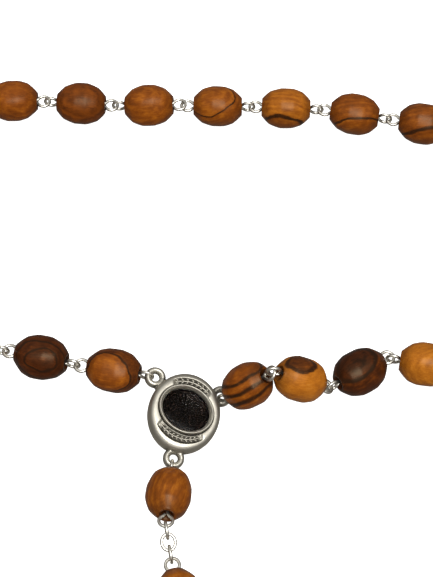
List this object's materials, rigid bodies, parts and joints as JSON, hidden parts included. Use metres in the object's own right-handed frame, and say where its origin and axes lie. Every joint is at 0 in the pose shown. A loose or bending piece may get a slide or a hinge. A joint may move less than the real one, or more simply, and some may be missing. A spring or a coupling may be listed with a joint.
{
  "type": "rosary",
  "caption": "Rosary of turned olive-wood beads on silver eye pins, laid flat, with an oval pewter centrepiece under a clear lens and a plain wooden cross.",
  "frame": {"origin": "middle of the layout's box, on the table it lies on", "axes": "+X along the long side of the loop, +Y from the cross towards the far side of the loop, +Z away from the table"},
  "size_m": [0.291, 0.1544, 0.0112],
  "materials": {
    "olive_wood": "waxed, semi-gloss",
    "silver_wire": "polished silver plate",
    "pewter": "antique silver, dark in the recesses",
    "earth": "fine dark grains set in resin",
    "lens": "clear polished"
  },
  "bodies": {
    "centerpiece": {"center_frame": "pewter", "center_earth": "earth", "center_lens": "lens"},
    "right_pin_01": {"right_pin_01": "silver_wire"},
    "right_bead_01": {"right_bead_01": "olive_wood"},
    "right_pin_02": {"right_pin_02": "silver_wire"},
    "right_bead_02": {"right_bead_02": "olive_wood"},
    "right_pin_03": {"right_pin_03": "silver_wire"},
    "right_bead_03": {"right_bead_03": "olive_wood"},
    "right_pin_04": {"right_pin_04": "silver_wire"},
    "right_bead_04": {"right_bead_04": "olive_wood"},
    "right_run_05_07": {"right_run_05_07": "olive_wood"},
    "right_run_08_10": {"right_run_08_10": "olive_wood"},
    "right_spacer_11": {"right_spacer_11": "olive_wood"},
    "right_run_12_14": {"right_run_12_14": "olive_wood"},
    "right_run_15_16": {"right_run_15_16": "olive_wood"},
    "right_run_17_18": {"right_run_17_18": "olive_wood"},
    "right_run_19_21": {"right_run_19_21": "olive_wood"},
    "right_spacer_22": {"right_spacer_22": "olive_wood"},
    "right_run_23_23": {"right_run_23_23": "olive_wood"},
    "right_pin_24": {"right_pin_24": "silver_wire"},
    "right_bead_24": {"right_bead_24": "olive_wood"},
    "right_pin_25": {"right_pin_25": "silver_wire"},
    "right_bead_25": {"right_bead_25": "olive_wood"},
    "right_pin_26": {"right_pin_26": "silver_wire"},
    "right_bead_26": {"right_bead_26": "olive_wood"},
    "right_pin_27": {"right_pin_27": "silver_wire"},
    "right_bead_27": {"right_bead_27": "olive_wood"},
    "left_pin_01": {"left_pin_01": "silver_wire"},
    "left_bead_01": {"left_bead_01": "olive_wood"},
    "left_pin_02": {"left_pin_02": "silver_wire"},
    "left_bead_02": {"left_bead_02": "olive_wood"},
    "left_run_03_05": {"left_run_03_05": "olive_wood"},
    "left_run_06_08": {"left_run_06_08": "olive_wood"},
    "left_run_09_10": {"left_run_09_10": "olive_wood"},
    "left_spacer_11": {"left_spacer_11": "olive_wood"},
    "left_run_12_14": {"left_run_12_14": "olive_wood"},
    "left_run_15_16": {"left_run_15_16": "olive_wood"},
    "left_run_17_18": {"left_run_17_18": "olive_wood"},
    "left_run_19_21": {"left_run_19_21": "olive_wood"},
    "left_spacer_22": {"left_spacer_22": "olive_wood"},
    "left_run_23_24": {"left_run_23_24": "olive_wood"},
    "left_pin_25": {"left_pin_25": "silver_wire"},
    "left_bead_25": {"left_bead_25": "olive_wood"},
    "left_pin_26": {"left_pin_26": "silver_wire"},
    "left_bead_26": {"left_bead_26": "olive_wood"},
    "left_pin_27": {"left_pin_27": "silver_wire"},
    "left_bead_27": {"left_bead_27": "olive_wood"},
    "drop_pin_01": {"drop_pin_01": "silver_wire"},
    "drop_bead_01": {"drop_bead_01": "olive_wood"},
    "drop_link_1": {"drop_link_1": "silver_wire"},
    "drop_link_2": {"drop_link_2": "silver_wire"},
    "drop_link_3": {"drop_link_3": "silver_wire"},
    "drop_pin_02": {"drop_pin_02": "silver_wire"},
    "drop_bead_02": {"drop_bead_02": "olive_wood"},
    "drop_bead_03": {"drop_bead_03": "olive_wood"},
    "drop_bead_04": {"drop_bead_04": "olive_wood"},
    "drop_spacer_05": {"drop_spacer_05": "olive_wood"},
    "cross": {"cross_eye": "silver_wire", "cross": "olive_wood"}
  },
  "joints": [
    {"name": "swing_right_pin_01", "type": "hinge", "parent": "centerpiece", "child": "right_pin_01", "pos_m": [0.00729, 0.01994, 0.00242], "axis": [0, 0, 1], "range_deg": [-40, 0]},
    {"name": "turn_right_bead_01", "type": "hinge", "parent": "right_pin_01", "child": "right_bead_01", "pos_m": [0.01135, 0.02006, 0.006], "axis": [0.6544, 0.0206, 0.7559], "continuous": true},
    {"name": "swing_right_pin_02", "type": "hinge", "parent": "right_pin_01", "child": "right_pin_02", "pos_m": [0.01428, 0.02015, 0.00938], "axis": [0, 0, -1], "range_deg": [0, 8]},
    {"name": "turn_right_bead_02", "type": "hinge", "parent": "right_pin_02", "child": "right_bead_02", "pos_m": [0.01873, 0.02045, 0.0073], "axis": [0.8059, 0.0535, -0.5896], "continuous": true},
    {"name": "swing_right_pin_03", "type": "hinge", "parent": "right_pin_02", "child": "right_pin_03", "pos_m": [0.0228, 0.02072, 0.00432], "axis": [0, 0, 1], "range_deg": [-40, 0]},
    {"name": "turn_right_bead_03", "type": "hinge", "parent": "right_pin_03", "child": "right_bead_03", "pos_m": [0.02749, 0.0236, 0.00342], "axis": [0.8504, 0.5211, -0.0732], "continuous": true},
    {"name": "swing_right_pin_04", "type": "hinge", "parent": "right_pin_03", "child": "right_pin_04", "pos_m": [0.03149, 0.02605, 0.00307], "axis": [0, 0, -1], "range_deg": [0, 30]},
    {"name": "turn_right_bead_04", "type": "hinge", "parent": "right_pin_04", "child": "right_bead_04", "pos_m": [0.03708, 0.02497, 0.00301], "axis": [0.982, -0.1891, 0.0014], "continuous": true},
    {"name": "swing_right_run_05_07", "type": "hinge", "parent": "right_pin_04", "child": "right_run_05_07", "pos_m": [0.04199, 0.02402, 0.00301], "axis": [0, 0, 1], "range_deg": [-20, 0]},
    {"name": "swing_right_run_08_10", "type": "hinge", "parent": "right_run_05_07", "child": "right_run_08_10", "pos_m": [0.07398, 0.02667, 0.00302], "axis": [0, 0, -1], "range_deg": [0, 20]},
    {"name": "swing_right_spacer_11", "type": "hinge", "parent": "right_run_08_10", "child": "right_spacer_11", "pos_m": [0.10612, 0.02932, 0.00302], "axis": [0, 0, 1], "range_deg": [-20, 0]},
    {"name": "swing_right_run_12_14", "type": "hinge", "parent": "right_spacer_11", "child": "right_run_12_14", "pos_m": [0.12546, 0.03092, 0.00302], "axis": [0, 0, -1], "range_deg": [0, 20]},
    {"name": "swing_right_run_15_16", "type": "hinge", "parent": "right_run_12_14", "child": "right_run_15_16", "pos_m": [0.1428, 0.05392, 0.00302], "axis": [0, 0, 1], "range_deg": [-20, 0]},
    {"name": "swing_right_run_17_18", "type": "hinge", "parent": "right_run_15_16", "child": "right_run_17_18", "pos_m": [0.12866, 0.06885, 0.00302], "axis": [0, 0, -1], "range_deg": [0, 20]},
    {"name": "swing_right_run_19_21", "type": "hinge", "parent": "right_run_17_18", "child": "right_run_19_21", "pos_m": [0.10727, 0.06821, 0.00302], "axis": [0, 0, 1], "range_deg": [-35, 10]},
    {"name": "swing_right_spacer_22", "type": "hinge", "parent": "right_run_19_21", "child": "right_spacer_22", "pos_m": [0.07503, 0.06724, 0.00302], "axis": [0, 0, -1], "range_deg": [-18, 35]},
    {"name": "swing_right_run_23_23", "type": "hinge", "parent": "right_spacer_22", "child": "right_run_23_23", "pos_m": [0.05564, 0.06666, 0.00302], "axis": [0, 0, 1], "range_deg": [-35, 18]},
    {"name": "swing_right_pin_24", "type": "hinge", "parent": "right_run_23_23", "child": "right_pin_24", "pos_m": [0.0449, 0.06634, 0.00302], "axis": [0, 0, -1], "range_deg": [-18, 35]},
    {"name": "turn_right_bead_24", "type": "hinge", "parent": "right_pin_24", "child": "right_bead_24", "pos_m": [0.03927, 0.06723, 0.00302], "axis": [-0.9877, 0.1564, 0], "continuous": true},
    {"name": "swing_right_pin_25", "type": "hinge", "parent": "right_pin_24", "child": "right_pin_25", "pos_m": [0.03423, 0.06803, 0.00302], "axis": [0, 0, 1], "range_deg": [-35, 35]},
    {"name": "turn_right_bead_25", "type": "hinge", "parent": "right_pin_25", "child": "right_bead_25", "pos_m": [0.02862, 0.06902, 0.00302], "axis": [-0.9848, 0.1736, 0], "continuous": true},
    {"name": "swing_right_pin_26", "type": "hinge", "parent": "right_pin_25", "child": "right_pin_26", "pos_m": [0.02359, 0.0699, 0.00302], "axis": [0, 0, -1], "range_deg": [-35, 35]},
    {"name": "turn_right_bead_26", "type": "hinge", "parent": "right_pin_26", "child": "right_bead_26", "pos_m": [0.0179, 0.0702, 0.00302], "axis": [-0.9986, 0.0523, 0], "continuous": true},
    {"name": "swing_right_pin_27", "type": "hinge", "parent": "right_pin_26", "child": "right_pin_27", "pos_m": [0.01291, 0.07046, 0.00302], "axis": [0, 0, 1], "range_deg": [-35, 35]},
    {"name": "turn_right_bead_27", "type": "hinge", "parent": "right_pin_27", "child": "right_bead_27", "pos_m": [0.00721, 0.07056, 0.00302], "axis": [-0.9998, 0.0175, 0], "continuous": true},
    {"name": "swing_left_pin_01", "type": "hinge", "parent": "centerpiece", "child": "left_pin_01", "pos_m": [-0.00202, 0.02231, 0.00441], "axis": [0, 0, 1], "range_deg": [0, 40]},
    {"name": "turn_left_bead_01", "type": "hinge", "parent": "left_pin_01", "child": "left_bead_01", "pos_m": [-0.00759, 0.02347, 0.00408], "axis": [-0.9767, 0.2023, -0.0711], "continuous": true},
    {"name": "swing_left_pin_02", "type": "hinge", "parent": "left_pin_01", "child": "left_pin_02", "pos_m": [-0.0126, 0.0245, 0.00371], "axis": [0, 0, -1], "range_deg": [-40, 0]},
    {"name": "turn_left_bead_02", "type": "hinge", "parent": "left_pin_02", "child": "left_bead_02", "pos_m": [-0.01811, 0.02592, 0.00336], "axis": [-0.9669, 0.2483, -0.0588], "continuous": true},
    {"name": "swing_left_run_03_05", "type": "hinge", "parent": "left_pin_02", "child": "left_run_03_05", "pos_m": [-0.02295, 0.02716, 0.00307], "axis": [0, 0, 1], "range_deg": [0, 20]},
    {"name": "swing_left_run_06_08", "type": "hinge", "parent": "left_run_03_05", "child": "left_run_06_08", "pos_m": [-0.05485, 0.0307, 0.00301], "axis": [0, 0, -1], "range_deg": [-20, 0]},
    {"name": "swing_left_run_09_10", "type": "hinge", "parent": "left_run_06_08", "child": "left_run_09_10", "pos_m": [-0.08675, 0.03425, 0.00301], "axis": [0, 0, 1], "range_deg": [0, 20]},
    {"name": "swing_left_spacer_11", "type": "hinge", "parent": "left_run_09_10", "child": "left_spacer_11", "pos_m": [-0.10817, 0.03663, 0.00301], "axis": [0, 0, -1], "range_deg": [-20, 0]},
    {"name": "swing_left_run_12_14", "type": "hinge", "parent": "left_spacer_11", "child": "left_run_12_14", "pos_m": [-0.12745, 0.03877, 0.00301], "axis": [0, 0, 1], "range_deg": [0, 20]},
    {"name": "swing_left_run_15_16", "type": "hinge", "parent": "left_run_12_14", "child": "left_run_15_16", "pos_m": [-0.14203, 0.06294, 0.00301], "axis": [0, 0, -1], "range_deg": [-20, 0]},
    {"name": "swing_left_run_17_18", "type": "hinge", "parent": "left_run_15_16", "child": "left_run_17_18", "pos_m": [-0.12501, 0.0742, 0.00301], "axis": [0, 0, 1], "range_deg": [-10, 35]},
    {"name": "swing_left_run_19_21", "type": "hinge", "parent": "left_run_17_18", "child": "left_run_19_21", "pos_m": [-0.10362, 0.07362, 0.00301], "axis": [0, 0, -1], "range_deg": [-35, 10]},
    {"name": "swing_left_spacer_22", "type": "hinge", "parent": "left_run_19_21", "child": "left_spacer_22", "pos_m": [-0.07138, 0.07276, 0.00301], "axis": [0, 0, 1], "range_deg": [-18, 35]},
    {"name": "swing_left_run_23_24", "type": "hinge", "parent": "left_spacer_22", "child": "left_run_23_24", "pos_m": [-0.05199, 0.07224, 0.00301], "axis": [0, 0, -1], "range_deg": [-35, 18]},
    {"name": "swing_left_pin_25", "type": "hinge", "parent": "left_run_23_24", "child": "left_pin_25", "pos_m": [-0.0306, 0.07166, 0.00301], "axis": [0, 0, 1], "range_deg": [-35, 35]},
    {"name": "turn_left_bead_25", "type": "hinge", "parent": "left_pin_25", "child": "left_bead_25", "pos_m": [-0.0249, 0.07156, 0.00301], "axis": [0.9998, -0.0175, 0], "continuous": true},
    {"name": "swing_left_pin_26", "type": "hinge", "parent": "left_pin_25", "child": "left_pin_26", "pos_m": [-0.0199, 0.07147, 0.00301], "axis": [0, 0, -1], "range_deg": [-35, 35]},
    {"name": "turn_left_bead_26", "type": "hinge", "parent": "left_pin_26", "child": "left_bead_26", "pos_m": [-0.01421, 0.07108, 0.00301], "axis": [0.9976, -0.0698, 0], "continuous": true},
    {"name": "swing_left_pin_27", "type": "hinge", "parent": "left_pin_26", "child": "left_pin_27", "pos_m": [-0.00923, 0.07073, 0.00301], "axis": [0, 0, 1], "range_deg": [-35, 35]},
    {"name": "turn_left_bead_27", "type": "hinge", "parent": "left_pin_27", "child": "left_bead_27", "pos_m": [-0.00354, 0.07053, 0.00335], "axis": [0.997, -0.0348, 0.0698], "continuous": true},
    {"name": "swing_drop_pin_01", "type": "hinge", "parent": "centerpiece", "child": "drop_pin_01", "pos_m": [0.00086, 0.01034, 0.00192], "axis": [0, 0, 1], "range_deg": [-40, 40]},
    {"name": "turn_drop_bead_01", "type": "hinge", "parent": "drop_pin_01", "child": "drop_bead_01", "pos_m": [0.00048, 0.00487, 0.0033], "axis": [-0.0667, -0.954, 0.2924], "continuous": true},
    {"name": "swing_drop_link_1", "type": "hinge", "parent": "drop_pin_01", "child": "drop_link_1", "pos_m": [0.00012, -0.00022, 0.00486], "axis": [0, 0, -1], "range_deg": [-50, 50]},
    {"name": "lift_drop_link_2", "type": "hinge", "parent": "drop_link_1", "child": "drop_link_2", "pos_m": [0.00039, -0.00173, 0.00493], "axis": [-0.9833, -0.1822, 0], "range_deg": [0, 40]},
    {"name": "swing_drop_link_3", "type": "hinge", "parent": "drop_link_2", "child": "drop_link_3", "pos_m": [0.00066, -0.00319, 0.00426], "axis": [0, 0, 1], "range_deg": [-50, 50]},
    {"name": "lift_drop_pin_02", "type": "hinge", "parent": "drop_link_3", "child": "drop_pin_02", "pos_m": [0.00092, -0.00457, 0.0036], "axis": [-0.9781, -0.2079, 0], "range_deg": [0, 10]},
    {"name": "turn_drop_bead_02", "type": "hinge", "parent": "drop_pin_02", "child": "drop_bead_02", "pos_m": [0.00208, -0.01005, 0.00326], "axis": [0.2079, -0.978, 0.0175], "continuous": true},
    {"name": "swing_drop_bead_03", "type": "hinge", "parent": "drop_pin_02", "child": "drop_bead_03", "pos_m": [0.00312, -0.01494, 0.00335], "axis": [0, 0, 1], "range_deg": [-45, 45]},
    {"name": "swing_drop_bead_04", "type": "hinge", "parent": "drop_bead_03", "child": "drop_bead_04", "pos_m": [0.00747, -0.02471, 0.00337], "axis": [0, 0, -1], "range_deg": [-45, 45]},
    {"name": "swing_drop_spacer_05", "type": "hinge", "parent": "drop_bead_04", "child": "drop_spacer_05", "pos_m": [0.01257, -0.03429, 0.00337], "axis": [0, 0, 1], "range_deg": [-45, 45]},
    {"name": "lift_cross", "type": "hinge", "parent": "drop_spacer_05", "child": "cross", "pos_m": [0.01771, -0.04844, 0.00337], "axis": [-0.9781, -0.2079, 0], "range_deg": [0, 50]}
  ]
}
